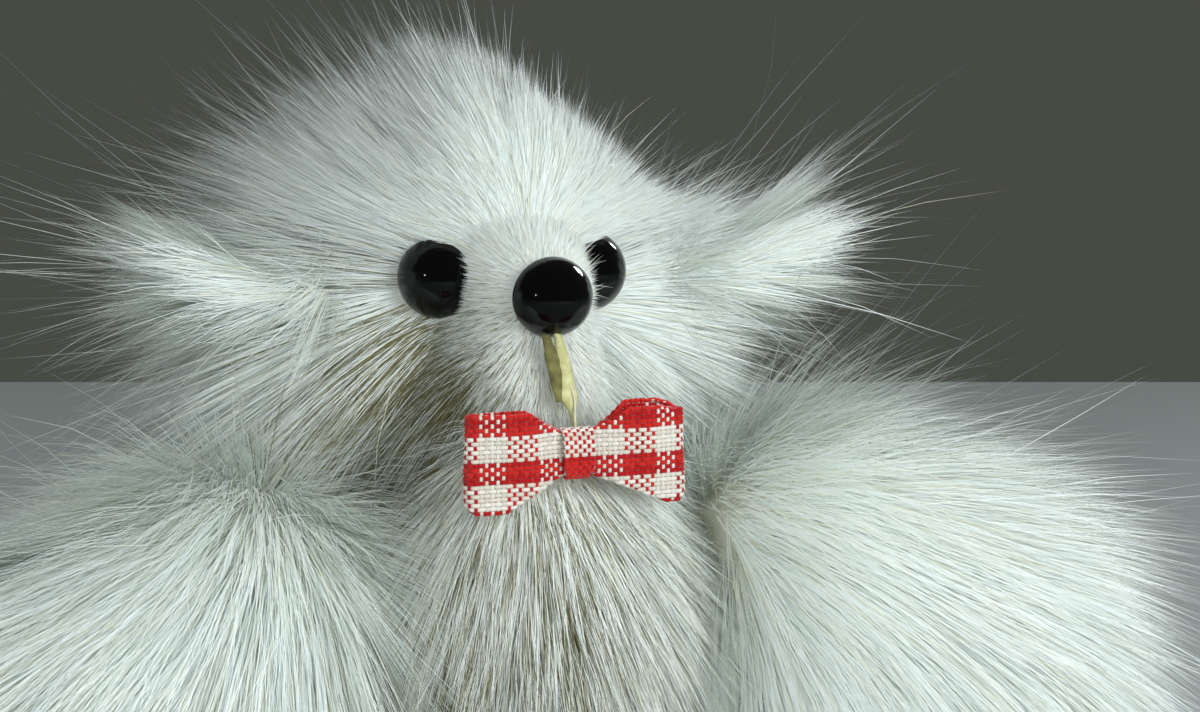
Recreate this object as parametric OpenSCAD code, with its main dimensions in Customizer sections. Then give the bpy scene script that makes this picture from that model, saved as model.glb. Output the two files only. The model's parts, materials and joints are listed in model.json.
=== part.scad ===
// Small long-haired fur dog, sitting, with a gingham bow, safety eyes and a split ring on a cord loop.
// It faces -Y. Each pelt solid is the leather skin with its standing pile, so it ends where the pile closes.

/* [Torso] */
// Half of the torso's width between the legs
torso_half = 20; // [18:0.5:22]
// Radius of the chest
chest_r = 19.5; // [18:0.5:20]
// Height of the chest's centre
chest_z = 38; // [36:0.5:38]
// Radius of the rump
rump_r = 23; // [20:0.5:24]
// Distance from the chest to the rump
torso_length = 38; // [34:0.5:40]
// Height at which the neck is sewn
neck_z = 56.4; // [55:0.1:56.4]

/* [Head] */
// Radius of the head with its pile
head_r = 17; // [15:0.25:17.5]
// How far the head's centre is behind the chest's
head_back = 11; // [10:0.5:12]
// Height of the head's centre
head_z = 72; // [71:0.5:73]
// Radius of the muzzle
muzzle_r = 6.5; // [5:0.25:7]
// Radius of the throat under the muzzle
throat_r = 7.5; // [6:0.25:8]
// Length of each ear beyond its sewn edge
ear_l = 11; // [8:0.5:13]
// Thickness of each ear with its flat pile
ear_t = 5.2; // [4:0.2:5.2]

/* [Eyes and nose] */
// Diameter of each eye
eye_d = 8; // [6:0.5:9]
// How far each eye stands out of the pelt
eye_rise = 3; // [2:0.25:3.5]
// Distance between the eyes' centres
eye_spacing = 18.4; // [15:0.2:20]
// Width of the nose
nose_d = 8.2; // [7:0.2:9]
// How far the nose stands out of the muzzle
nose_rise = 3.6; // [3:0.2:4.4]
// Diameter of the ribbed shanks
shank_d = 2.4; // [2:0.1:3]
// Diameter of the lock washers
washer_d = 6; // [5:0.5:7]
// Thickness of the lock washers
washer_t = 0.8; // [0.6:0.1:1.2]

/* [Legs and tail] */
// Radius of the shoulder with its pile
shoulder_r = 20; // [18:0.5:20]
// Radius of the forearm with its pile
forearm_r = 19; // [16:0.5:19]
// Radius of the front paw with its pile
paw_r = 15; // [12:0.5:15]
// Radius of the thigh with its pile
thigh_r = 20; // [18:0.5:20]
// Radius of the hind foot with its pile
foot_r = 9.5; // [8:0.5:10]
// Depth of the pile over the legs' leather
leg_pile = 9.5; // [8:0.5:11]

/* [Bow] */
// Width of the bow from end to end
bow_w = 22; // [18:0.2:26]
// Height of the bow's ends, which is the ribbon's width
bow_h = 9.6; // [8:0.2:12]
// Thickness of the ribbon
ribbon_t = 0.4; // [0.3:0.05:0.6]
// Width of the band round the middle
band_w = 3.3; // [2.6:0.1:4.5]

/* [Ring and cord] */
// Radius of the split ring at the middle of its wire
ring_r = 9.2; // [8:0.1:9.5]
// Thickness of the two turns of wire together
wire_d = 1.5; // [1.2:0.1:1.8]
// Thickness of the cord
cord_d = 1.2; // [1:0.1:1.4]
// Radius of the cord's loop
loop_r = 3.7; // [3.5:0.1:4]

/* [Hidden] */
$fn = 64;
hull_fn = 28;
big = 200;
// the origin is under the middle of the whole object, which is behind the chest
middle_y = 27;
// gap between parts that move against each other, and between a pelt and its stuffing
move_gap = 0.4;
fill_gap = 0.3;
seam_r = 8;
left = 1;
right = -1;

head = [0, head_back, head_z];
head_floor = neck_z + 0.6;
skull_r = head_r - 3.5;
muzzle = [0, -3, 68.5];
throat = [0, -5.5, 61.5];
nose_at = [0, -9.6, 69.6];
eye_dir = [eye_spacing / 2, -11.4, -1.5];
eye_turn = atan2(eye_dir.x, -eye_dir.y);
eye_tilt = atan2(-eye_dir.z, norm([eye_dir.x, eye_dir.y]));
shank_l = 8;
washer_depth = 3.2;

// legs, as centres for the dog's left side
shoulder = [24, -2, 34];
forearm = [42, -6, 30];
front_paw = [52, -12, 15];
thigh = [27, 42, 21];
hind_foot = [40, 30, 10];
leg_in = torso_half + move_gap;
leg_floor = 0.4;
tail_base = [0, 68.4, 22];
ear_base = [19.9, 8.8, 69.5];

// the bow stands on the chest
bow_at = [-0.6, -17.2, 55.1];
wing_gap = 1.2;
knot_h = 4.8;

// the ring hangs behind the head, turned to the dog's left
ring_turn = -22;
ring_side = 7.2;
ring_back = head_r + 0.9;
ring_z = 72.5;
// the loop's centre, as seen square to the ring
loop_reach = norm([ring_back, ring_z + ring_r - head_z]) - 2.2;
loop_lift = atan2(ring_z + ring_r - head_z, ring_back);

module placed() {
    translate([0, -middle_y, 0]) children();
}

module ball(at, r) {
    translate(at) sphere(r, $fn = hull_fn);
}

module on_left_or_right(side) {
    mirror([side == left ? 0 : 1, 0, 0]) children();
}

// ---- torso ----

module torso_shape(grow) {
    hull() {
        ball([0, 0, chest_z], chest_r + grow);
        ball([0, torso_length, 24], rump_r + grow);
        translate([0, 3, -1]) cylinder(r = 14 + grow, h = 1, $fn = hull_fn);
        translate([0, torso_length, -1]) cylinder(r = 17 + grow, h = 1, $fn = hull_fn);
    }
}

module torso_block(half, low, high) {
    translate([-half, -big / 2, low]) cube([2 * half, big, high - low]);
}

// the neck is sewn along a circle, with its thread in an open groove
module neck_groove() {
    translate([0, 2, neck_z - 0.8]) rotate_extrude() translate([seam_r - 0.4, 0]) square([0.8, 2]);
}

module torso_pelt() {
    color("ivory") placed() difference() {
        intersection() {
            torso_shape(0);
            torso_block(torso_half, 0, neck_z);
        }
        intersection() {
            torso_shape(-leg_pile);
            torso_block(torso_half - 2, 2, neck_z - 3);
        }
        neck_groove();
        bow_thread_shape(0.35);
    }
}

module torso_stuffing() {
    color("whitesmoke") placed() difference() {
        intersection() {
            torso_shape(-leg_pile - fill_gap);
            torso_block(torso_half - 2 - fill_gap, 2 + fill_gap, neck_z - 3 - fill_gap);
        }
        bow_thread_shape(0.35);
    }
}

module neck_thread() {
    color("white") placed() translate([0, 2, neck_z - 0.45]) rotate_extrude()
        translate([seam_r, 0]) circle(0.3);
}

// ---- head ----

module head_shape() {
    hull() {
        ball(head, head_r);
        ball(muzzle, muzzle_r);
        ball(throat, throat_r);
    }
}

module above_neck(low) {
    translate([-big / 2, -big / 2, low]) cube(big);
}

// z of what is inside points out of the eye, and its origin is on the skull
module at_eye(side) {
    on_left_or_right(side) translate(head) rotate([0, 0, eye_turn]) rotate([90 + eye_tilt, 0, 0])
        translate([0, 0, skull_r + 0.1]) children();
}

module at_nose() {
    translate(nose_at) rotate([90, 0, 0]) children();
}

module shank_shape(r) {
    translate([0, 0, -shank_l]) cylinder(r = r, h = shank_l);
}

module washer_room() {
    translate([0, 0, -washer_depth - washer_t - 0.1]) cylinder(d = washer_d + 0.4, h = washer_t + 0.2);
}

module loop_shape(r) {
    translate(head) rotate([0, 0, ring_turn]) translate([ring_side, 0, 0]) rotate([loop_lift, 0, 0])
        translate([0, loop_reach, 0]) rotate([0, 90, 0]) rotate_extrude() translate([loop_r, 0]) circle(r);
}

module head_pelt() {
    color("ivory") placed() difference() {
        intersection() {
            head_shape();
            above_neck(head_floor);
        }
        intersection() {
            translate(head) sphere(skull_r - 0.4);
            above_neck(head_floor + 1.5);
        }
        for (side = [left, right]) at_eye(side) {
            cylinder(d = eye_d + 0.4, h = 20);
            shank_shape(shank_d / 2 + 0.05);
        }
        at_nose() {
            cylinder(d = nose_d + 0.4, h = 20);
            shank_shape(shank_d / 2 + 0.05);
            washer_room();
        }
        loop_shape(cord_d / 2 + 0.05);
        chin_seam_shape(1.35, 0.5);
    }
}

module head_stuffing() {
    color("whitesmoke") placed() difference() {
        intersection() {
            translate(head) sphere(skull_r - 0.4 - fill_gap);
            above_neck(head_floor + 1.5 + fill_gap);
        }
        for (side = [left, right]) at_eye(side) {
            shank_shape(shank_d / 2 + 0.05);
            washer_room();
        }
        at_nose() shank_shape(shank_d / 2 + 0.05);
        loop_shape(cord_d / 2 + 0.05);
    }
}

// the pelt's folded edge, which runs from under the nose to the bow
module chin_seam_shape(half, r) {
    for (step = [0:1]) hull() for (end = [step, step + 1])
        translate([[-half, -11, 64.6], [-half, -13.5, 61.4], [-half, -13.3, head_floor + r + 0.1]][end])
            rotate([0, 90, 0]) cylinder(r = r, h = 2 * half, $fn = 16);
}

module chin_seam() {
    color("khaki") placed() chin_seam_shape(1.25, 0.4);
}

module ear(side) {
    color("ivory") placed() on_left_or_right(side) hull() {
        ball(ear_base + [0, -4.2, 0], ear_t / 2);
        ball(ear_base + [0, 4.2, 0], ear_t / 2);
        ball(ear_base + [ear_l * 0.7, -3.4, 0.6], ear_t / 2);
        ball(ear_base + [ear_l * 0.7, 3.4, 0.6], ear_t / 2);
        ball(ear_base + [ear_l, 0, 0.6], ear_t * 0.42);
    }
}

module ear_left() {
    ear(left);
}

module ear_right() {
    ear(right);
}

// a dome whose rim is rounded under, as moulded
module dome_outline(r, rise) {
    intersection() {
        translate([0, -(r * r - rise * rise) / (2 * rise)]) circle((r * r + rise * rise) / (2 * rise));
        square([r, rise]);
    }
}

module eye(side) {
    color("black") placed() at_eye(side) {
        rotate_extrude() dome_outline(eye_d / 2, eye_rise);
        shank_shape(shank_d / 2);
    }
}

module eye_left() {
    eye(left);
}

module eye_right() {
    eye(right);
}

module lock_washer() {
    translate([0, 0, -washer_depth - washer_t]) difference() {
        cylinder(d = washer_d, h = washer_t);
        translate([0, 0, -1]) cylinder(d = shank_d + 0.1, h = washer_t + 2);
    }
}

module eye_left_washer() {
    color("white") placed() at_eye(left) lock_washer();
}

module eye_right_washer() {
    color("white") placed() at_eye(right) lock_washer();
}

module nose() {
    color("black") placed() at_nose() {
        rotate_extrude() dome_outline(nose_d / 2, nose_rise);
        shank_shape(shank_d / 2);
    }
}

module nose_washer() {
    color("white") placed() at_nose() lock_washer();
}

// ---- legs and tail ----

module foreleg_pelt(side) {
    color("ivory") placed() on_left_or_right(side) difference() {
        intersection() {
            hull() {
                ball(shoulder, shoulder_r);
                ball(forearm, forearm_r);
                ball(front_paw, paw_r);
            }
            translate([leg_in, -big / 2, leg_floor]) cube(big);
        }
        foreleg_core(0);
    }
}

module foreleg_core(less) {
    hull() {
        ball(shoulder + [8, 0, 0], shoulder_r - leg_pile - less);
        ball(forearm, forearm_r - leg_pile - less);
        ball(front_paw, paw_r - leg_pile - less);
    }
}

module hindleg_core(less) {
    hull() {
        ball(thigh + [5, 0, 0], thigh_r - leg_pile - less);
        ball(hind_foot + [0, 4, 2], foot_r - 3.5 - less);
    }
}

module hindleg_pelt(side) {
    color("ivory") placed() on_left_or_right(side) difference() {
        intersection() {
            hull() {
                ball(thigh, thigh_r);
                ball(hind_foot, foot_r);
            }
            translate([leg_in, -big / 2, leg_floor]) cube(big);
        }
        hindleg_core(0);
    }
}

module leg_stuffing(side) {
    color("whitesmoke") placed() on_left_or_right(side) children();
}

module foreleg_left_pelt() {
    foreleg_pelt(left);
}

module foreleg_right_pelt() {
    foreleg_pelt(right);
}

module foreleg_left_stuffing() {
    leg_stuffing(left) foreleg_core(fill_gap);
}

module foreleg_right_stuffing() {
    leg_stuffing(right) foreleg_core(fill_gap);
}

module hindleg_left_pelt() {
    hindleg_pelt(left);
}

module hindleg_right_pelt() {
    hindleg_pelt(right);
}

module hindleg_left_stuffing() {
    leg_stuffing(left) hindleg_core(fill_gap);
}

module hindleg_right_stuffing() {
    leg_stuffing(right) hindleg_core(fill_gap);
}

module tail_pelt() {
    color("ivory") placed() hull() {
        ball(tail_base, 6.5);
        ball(tail_base + [0, 4, 12], 7.5);
        ball(tail_base + [0, 3, 22], 5);
    }
}

// ---- bow ----

// front outline: straight ends, and edges that dip to the pinched middle
module bow_outline() {
    dip = (bow_h - knot_h) / 2;
    polygon([
        [-bow_w / 2, -bow_h / 2], [-bow_w * 0.3, -bow_h / 2 + 0.2], [-band_w / 2, -bow_h / 2 + dip],
        [band_w / 2, -bow_h / 2 + dip], [bow_w * 0.3, -bow_h / 2 + 0.2], [bow_w / 2, -bow_h / 2],
        [bow_w / 2, bow_h / 2], [bow_w * 0.3, bow_h / 2 - 0.2], [band_w / 2, bow_h / 2 - dip],
        [-band_w / 2, bow_h / 2 - dip], [-bow_w * 0.3, bow_h / 2 - 0.2], [-bow_w / 2, bow_h / 2]
    ]);
}

// plan of the ribbon folded flat, a loop whose ends are round folds
module folded_plan(r) {
    fold_x = bow_w / 2 - ribbon_t - wing_gap / 2;
    hull() for (x = [-fold_x, fold_x]) translate([x, 0]) circle(r);
}

// plan of the hollow inside one wing, which closes towards the knot
module wing_plan() {
    hull() {
        translate([band_w / 2 + 1, 0]) circle(0.1);
        translate([bow_w / 2 - ribbon_t - wing_gap / 2, 0]) circle(wing_gap / 2);
    }
}

module bow_ribbon() {
    color("firebrick") placed() translate(bow_at) intersection() {
        rotate([90, 0, 0]) translate([0, 0, -5]) linear_extrude(10) bow_outline();
        translate([0, 0, -bow_h]) linear_extrude(2 * bow_h) difference() {
            folded_plan(ribbon_t + wing_gap / 2);
            for (way = [0, 1]) mirror([way, 0]) wing_plan();
        }
    }
}

module bow_band() {
    color("firebrick") placed() translate(bow_at) difference() {
        translate([-band_w / 2, -1.5, -knot_h / 2 - ribbon_t]) cube([band_w, 3, knot_h + 2 * ribbon_t]);
        translate([-band_w, -1.1, -knot_h / 2 - 0.02]) cube([2 * band_w, 2.2, knot_h + 0.04]);
    }
}

module bow_thread_shape(r) {
    translate(bow_at + [0, 9.5, 0]) rotate([90, 0, 0]) cylinder(r = r, h = 8);
}

module bow_thread() {
    color("red") placed() bow_thread_shape(0.3);
}

// ---- ring and cord ----

module ring_cord() {
    color("black") placed() loop_shape(cord_d / 2);
}

module split_ring() {
    color("silver") placed() translate(head) rotate([0, 0, ring_turn])
        translate([ring_side, ring_back, ring_z - head_z]) rotate([90, 0, 0])
            rotate_extrude() for (turn = [-1, 1]) translate([ring_r, turn * wire_d / 4])
                square([wire_d * 0.8, wire_d / 2], center = true);
}

torso_pelt();
torso_stuffing();
neck_thread();
head_pelt();
head_stuffing();
chin_seam();
ear_left();
ear_right();
eye_left();
eye_right();
eye_left_washer();
eye_right_washer();
nose();
nose_washer();
foreleg_left_pelt();
foreleg_left_stuffing();
foreleg_right_pelt();
foreleg_right_stuffing();
hindleg_left_pelt();
hindleg_left_stuffing();
hindleg_right_pelt();
hindleg_right_stuffing();
tail_pelt();
bow_ribbon();
bow_band();
bow_thread();
ring_cord();
split_ring();
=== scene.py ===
import json
import math

import bmesh
import bpy
import numpy as np
from mathutils import Matrix, Vector, kdtree, noise

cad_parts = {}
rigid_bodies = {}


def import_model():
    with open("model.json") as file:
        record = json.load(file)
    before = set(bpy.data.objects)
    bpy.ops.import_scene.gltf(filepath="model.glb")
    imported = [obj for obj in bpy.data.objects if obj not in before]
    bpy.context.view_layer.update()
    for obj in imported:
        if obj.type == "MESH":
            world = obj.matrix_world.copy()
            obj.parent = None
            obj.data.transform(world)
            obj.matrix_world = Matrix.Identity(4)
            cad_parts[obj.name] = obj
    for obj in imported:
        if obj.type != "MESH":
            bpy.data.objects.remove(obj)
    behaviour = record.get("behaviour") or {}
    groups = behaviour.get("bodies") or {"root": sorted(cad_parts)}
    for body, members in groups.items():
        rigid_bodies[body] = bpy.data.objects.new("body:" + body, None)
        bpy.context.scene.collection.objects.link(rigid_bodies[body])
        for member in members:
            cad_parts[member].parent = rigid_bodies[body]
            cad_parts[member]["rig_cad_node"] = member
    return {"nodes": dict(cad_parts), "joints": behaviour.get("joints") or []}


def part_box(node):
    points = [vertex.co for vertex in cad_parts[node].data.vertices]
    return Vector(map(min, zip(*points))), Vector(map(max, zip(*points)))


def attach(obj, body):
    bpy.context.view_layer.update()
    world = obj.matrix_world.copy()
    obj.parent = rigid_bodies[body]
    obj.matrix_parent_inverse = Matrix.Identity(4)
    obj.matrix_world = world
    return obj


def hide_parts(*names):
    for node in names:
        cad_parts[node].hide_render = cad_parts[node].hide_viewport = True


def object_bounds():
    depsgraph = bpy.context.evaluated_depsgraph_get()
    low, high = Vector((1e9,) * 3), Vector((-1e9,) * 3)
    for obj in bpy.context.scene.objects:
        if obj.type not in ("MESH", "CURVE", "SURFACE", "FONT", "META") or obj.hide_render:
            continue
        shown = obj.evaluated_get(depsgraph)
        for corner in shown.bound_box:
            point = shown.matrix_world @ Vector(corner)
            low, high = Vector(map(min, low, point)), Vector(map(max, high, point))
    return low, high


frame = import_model()
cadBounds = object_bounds()
mm = 0.001


def offset(x, y, z):
    return Vector((x * mm, y * mm, z * mm))


def boxOf(node):
    low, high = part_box(node)
    return Vector(low), Vector(high)


def middleOf(node):
    low, high = boxOf(node)
    return (low + high) / 2


# colours and materials

def fromHex(code):
    # sRGB hex to linear
    parts = [int(code[i:i + 2], 16) / 255 for i in (0, 2, 4)]
    return [c / 12.92 if c <= 0.04045 else ((c + 0.055) / 1.055) ** 2.4 for c in parts] + [1.0]


def addNode(material, kind, settings=None, links=None):
    # settings are properties or input values, links are {input: (node, output)}
    node = material.node_tree.nodes.new(kind)
    for key, value in (settings or {}).items():
        if key in node.inputs:
            node.inputs[key].default_value = value
        else:
            setattr(node, key, value)
    for key, (source, output) in (links or {}).items():
        material.node_tree.links.new(source.outputs[output], node.inputs[key])
    return node


def newMaterial(name, shaderSettings, shaderLinks=None):
    # the links are made by a function that is given the material and returns {input: (node, output)}
    material = bpy.data.materials.new(name)
    material.use_nodes = True
    material.node_tree.nodes.clear()
    links = shaderLinks(material) if shaderLinks else {}
    shader = addNode(material, "ShaderNodeBsdfPrincipled", shaderSettings, links)
    addNode(material, "ShaderNodeOutputMaterial", None, {"Surface": (shader, "BSDF")})
    material.diffuse_color = shaderSettings.get("Base Color", [0.8, 0.8, 0.8, 1])
    return material


# long rabbit hair, bleached: hollow pale shafts that scatter light and keep a soft gloss.
# Each tone is one shade of hair, so a coat is several slots and no texture.
furTones = {
    "cool": "eef5f3",
    "clear": "f7faf6",
    "warm": "f5f5ea",
    "cream": "e8e5cb",
    # the dark olive tone is painted shade, given to hairs in creases and hollows where shade falls
    "dusky": "7c7652",
}
furMaterials = [
    newMaterial(f"rabbit_hair_{tone}", {
        "Base Color": fromHex(code),
        "Roughness": 0.7,
        "Specular IOR Level": 0.18,
    })
    for tone, code in furTones.items()
]


def speckled(low, high, scale, bumpSize=None, bumpScale=2600.0, strength=0.5):
    # cloudy colour between two shades, with a fine relief where bumpSize (mm) is given
    def links(material):
        place = addNode(material, "ShaderNodeTexCoord")
        where = {"Vector": (place, "Object")}
        cloud = addNode(material, "ShaderNodeTexNoise", {"Scale": scale, "Detail": 4.0}, where)
        ramp = addNode(material, "ShaderNodeValToRGB", None, {"Fac": (cloud, "Fac")})
        ramp.color_ramp.elements[0].position = 0.3
        ramp.color_ramp.elements[1].position = 0.7
        ramp.color_ramp.elements[0].color = fromHex(low)
        ramp.color_ramp.elements[1].color = fromHex(high)
        if bumpSize is None:
            return {"Base Color": (ramp, "Color")}
        nap = addNode(material, "ShaderNodeTexNoise", {"Scale": bumpScale, "Detail": 3.0}, where)
        bump = addNode(material, "ShaderNodeBump", {"Strength": strength, "Distance": bumpSize * mm},
                       {"Height": (nap, "Fac")})
        return {"Base Color": (ramp, "Color"), "Normal": (bump, "Normal")}
    return links


# suede side of a tanned skin: cloudy cream with a fine nap of underfur
furHide = newMaterial("tanned_hide_under_fur", {"Roughness": 0.95}, speckled("dcd8c4", "f0eee2", 180.0, 0.2))
# the turned edge of the hide at the chin seam, where no hair grows
bareHide = newMaterial("bare_hide_edge", {"Roughness": 0.85, "Sheen Weight": 0.2},
                       speckled("b9b478", "dcd9a2", 900.0, 0.08, 9000.0))
# a dark olive strip laid beside the chin seam: painted shade
paintedShadeHide = newMaterial("folded_hide_edge", {"Roughness": 0.9},
                         speckled("5d5a34", "8a8654", 900.0, 0.08, 9000.0))
# loose polyester wadding
fibrefill = newMaterial("polyester_fibrefill", {"Roughness": 0.9, "Sheen Weight": 0.3},
                        speckled("dfe2e2", "f2f4f4", 400.0, 0.4, 1500.0))
# waxed sewing thread
paleThread = newMaterial("pale_sewing_thread", {"Roughness": 0.7, "Sheen Weight": 0.3},
                         speckled("cfcbb0", "e4e1cb", 3000.0, 0.04, 12000.0))
redSewing = newMaterial("red_sewing_thread", {"Roughness": 0.65, "Sheen Weight": 0.3},
                        speckled("8c1014", "ab1a1c", 3000.0, 0.04, 12000.0))
# pushed-on washers of natural polypropylene
washerPlastic = newMaterial("natural_polypropylene",
                            {"Roughness": 0.4, "IOR": 1.49, "Subsurface Weight": 0.1},
                            speckled("d8d8d0", "e6e6df", 300.0))
# rayon ribbon threads, dyed: two shades each of red and white
ribbonTones = {"red": ("b30f12", "cb211a"), "white": ("dcd1c3", "e9e1d6")}
ribbonMaterials = [
    newMaterial(f"{tone}_ribbon_thread_{shade}", {
        "Base Color": fromHex(code),
        "Roughness": 0.5,
        "Specular IOR Level": 0.45,
        "Sheen Weight": 0.25,
        "Sheen Roughness": 0.35,
    })
    for tone, codes in ribbonTones.items() for shade, code in enumerate(codes, 1)
]
# waxed cotton cord, black
blackCotton = newMaterial("black_waxed_cotton", {"Roughness": 0.45, "Specular IOR Level": 0.5},
                          speckled("0b0b0c", "1c1c1e", 4000.0, 0.05, 14000.0))
# nickel-plated spring steel, with hairlines from the keys
nickel = newMaterial("nickel_plated_steel", {"Metallic": 1.0, "Roughness": 0.14},
                     speckled("b9b8b2", "d4d3cf", 700.0, 0.01, 6000.0, 0.15))

# moulded safety eye and nose: polished black ABS with a clear glossy skin
blackPlastic = newMaterial("polished_black_abs", {
    "Base Color": fromHex("040405"),
    "Roughness": 0.07,
    "IOR": 1.5,
    "Specular IOR Level": 0.3,
})


# camera, floor and light

view = {"azimuth": -22, "elevation": 8, "lens": 85, "sensor": 36, "width": 120,
        "aimFromBow": (8.2, 14.1, 7.5)}
aim = middleOf("bow_band") + offset(*view["aimFromBow"])
turn, rise = math.radians(view["azimuth"]), math.radians(view["elevation"])
toCamera = Vector((math.sin(turn) * math.cos(rise), -math.cos(turn) * math.cos(rise), math.sin(rise)))
toRight = Vector((math.cos(turn), math.sin(turn), 0))
cameraData = bpy.data.cameras.new("camera")
cameraData.lens, cameraData.sensor_width = view["lens"], view["sensor"]
cameraData.clip_start = 0.01
camera = bpy.data.objects.new("camera", cameraData)
bpy.context.scene.collection.objects.link(camera)
camera.location = aim + toCamera * (view["width"] * mm * view["lens"] / view["sensor"])
camera.rotation_euler = toCamera.to_track_quat("Z", "Y").to_euler()
bpy.context.scene.camera = camera


def meshFrom(name, places, loops, sizes, slots):
    # flat arrays: corner places, the corners of all faces in turn, corners and material slot of each face
    mesh = bpy.data.meshes.new(name)
    mesh.vertices.add(len(places))
    mesh.vertices.foreach_set("co", places.ravel())
    mesh.loops.add(len(loops))
    mesh.loops.foreach_set("vertex_index", loops.astype(np.int32))
    starts = np.concatenate([[0], np.cumsum(sizes)[:-1]])
    mesh.polygons.add(len(sizes))
    mesh.polygons.foreach_set("loop_start", starts.astype(np.int32))
    mesh.polygons.foreach_set("material_index", slots.astype(np.int32))
    mesh.polygons.foreach_set("use_smooth", np.ones(len(sizes), bool))
    mesh.update(calc_edges=True)
    return mesh


def addObject(name, mesh, materials, body=None):
    thing = bpy.data.objects.new(name, mesh)
    bpy.context.scene.collection.objects.link(thing)
    for material in materials:
        mesh.materials.append(material)
    if body:
        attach(thing, body)
    return thing


def smoothed(work, factor):
    bmesh.ops.smooth_vert(work, verts=work.verts, factor=factor,
                          use_axis_x=True, use_axis_y=True, use_axis_z=True)


def bmeshToMesh(work, name, smooth=True):
    mesh = bpy.data.meshes.new(name)
    work.to_mesh(mesh)
    work.free()
    for polygon in mesh.polygons:
        polygon.use_smooth = smooth
    return mesh


table = {"size": 1600, "behind": 400, "colour": "8b908c", "wall": "484a44"}
tableTop = newMaterial("matt_laminate", {"Base Color": fromHex(table["colour"]), "Roughness": 0.6})
work = bmesh.new()
bmesh.ops.create_grid(work, x_segments=1, y_segments=1, size=table["size"] / 2 * mm)
back = -Vector((toCamera.x, toCamera.y, 0)).normalized()
shift = Vector((aim.x, aim.y, 0)) + back * (table["behind"] - table["size"] / 2) * mm
bmesh.ops.transform(work, matrix=Matrix.Translation(shift) @ Matrix.Rotation(turn, 4, "Z"), verts=work.verts)
floor = addObject("floor", bmeshToMesh(work, "floor", False), [tableTop])

# a dim wall behind, and soft room light on everything else
room = {"light": "ebf2f5", "strength": 0.42}
world = bpy.data.worlds.new("studio")
bpy.context.scene.world = world
world.use_nodes = True
worldTree = world.node_tree
wallLight = worldTree.nodes["Background"]
wallLight.inputs["Color"].default_value = fromHex(table["wall"])
roomLight = worldTree.nodes.new("ShaderNodeBackground")
roomLight.inputs["Color"].default_value = fromHex(room["light"])
roomLight.inputs["Strength"].default_value = room["strength"]
rays = worldTree.nodes.new("ShaderNodeLightPath")
either = worldTree.nodes.new("ShaderNodeMixShader")
worldTree.links.new(rays.outputs["Is Diffuse Ray"], either.inputs["Fac"])
worldTree.links.new(wallLight.outputs["Background"], either.inputs[1])
worldTree.links.new(roomLight.outputs["Background"], either.inputs[2])
worldTree.links.new(either.outputs["Shader"], worldTree.nodes["World Output"].inputs["Surface"])

# lights round the table: place from the aim in the camera's terms (right, up, near), size, watts,
# and which of soft light (diffuse) and glints (glossy) each one gives
softBoxes = [
    ("key", (300, 140, 340), 240, 1.8, True, False),
    ("top", (-60, 540, 60), 320, 0.32, True, False),
    ("front", (-60, 70, 470), 300, 0.72, True, False),
    ("rim", (120, 330, -420), 300, 0.25, True, False),
    ("glint_right", (330, 285, -460), 120, 3.6, False, True),
    ("glint_left", (-388, 164, -427), 80, 3.0, False, True),
    ("glint_front", (-300, 90, 380), 26, 0.08, False, True),
]
for name, (right, up, near), size, watts, soft, glints in softBoxes:
    lightData = bpy.data.lights.new(name, "AREA")
    lightData.shape, lightData.size, lightData.energy = "SQUARE", size * mm, watts
    lightData.color = fromHex(room["light"])[:3]
    light = bpy.data.objects.new(name, lightData)
    bpy.context.scene.collection.objects.link(light)
    light.location = aim + toRight * right * mm + Vector((0, 0, up * mm)) - back * near * mm
    light.rotation_euler = (light.location - aim).to_track_quat("Z", "Y").to_euler()
    light.visible_diffuse, light.visible_glossy = soft, glints
bpy.context.scene.view_settings.view_transform = "Standard"
bpy.context.scene.cycles.max_bounces = 16
bpy.context.scene.cycles.diffuse_bounces = 10
print("camera, floor and light are set")


# skins: the hide under the fur

# voxel sizes in mm; wadding lies so far under the skin, give or take its lumps
skinSettings = {"voxel": 0.9, "smoothing": 6}
wadding = {"voxel": 1.7, "under": 1.7, "lump": 0.5, "lumpScale": 240}


def hullOf(work, balls):
    # one convex solid round several balls, each (middle, radius in mm)
    solid = bmesh.new()
    for step, (middle, radius) in enumerate(balls):
        # each ball is turned its own way, so that no two have faces in one plane
        turned = Matrix.Rotation(0.37 + 0.61 * step, 4, "X") @ Matrix.Rotation(0.29, 4, "Y")
        place = Matrix.Translation(middle) @ turned
        bmesh.ops.create_icosphere(solid, subdivisions=3, radius=radius * mm, matrix=place)
    bmesh.ops.delete(solid, geom=list(solid.faces), context="FACES_ONLY")
    bmesh.ops.delete(solid, geom=list(solid.edges), context="EDGES_FACES")
    made = bmesh.ops.convex_hull(solid, input=list(solid.verts))
    unused = {v for v in [*made["geom_interior"], *made["geom_unused"]] if isinstance(v, bmesh.types.BMVert)}
    bmesh.ops.delete(solid, geom=list(unused), context="VERTS")
    bmesh.ops.recalc_face_normals(solid, faces=solid.faces)
    piece = bpy.data.meshes.new("hull")
    solid.to_mesh(piece)
    solid.free()
    work.from_mesh(piece)
    bpy.data.meshes.remove(piece)


def melt(mesh, voxel):
    # the mesh as one skin of even faces
    rough = bpy.data.objects.new("rough", mesh)
    bpy.context.scene.collection.objects.link(rough)
    remesh = rough.modifiers.new("melt", "REMESH")
    remesh.mode, remesh.voxel_size = "VOXEL", voxel * mm
    bpy.context.view_layer.update()
    melted = bpy.data.meshes.new_from_object(rough.evaluated_get(bpy.context.evaluated_depsgraph_get()))
    bpy.data.objects.remove(rough)
    return melted


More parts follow.
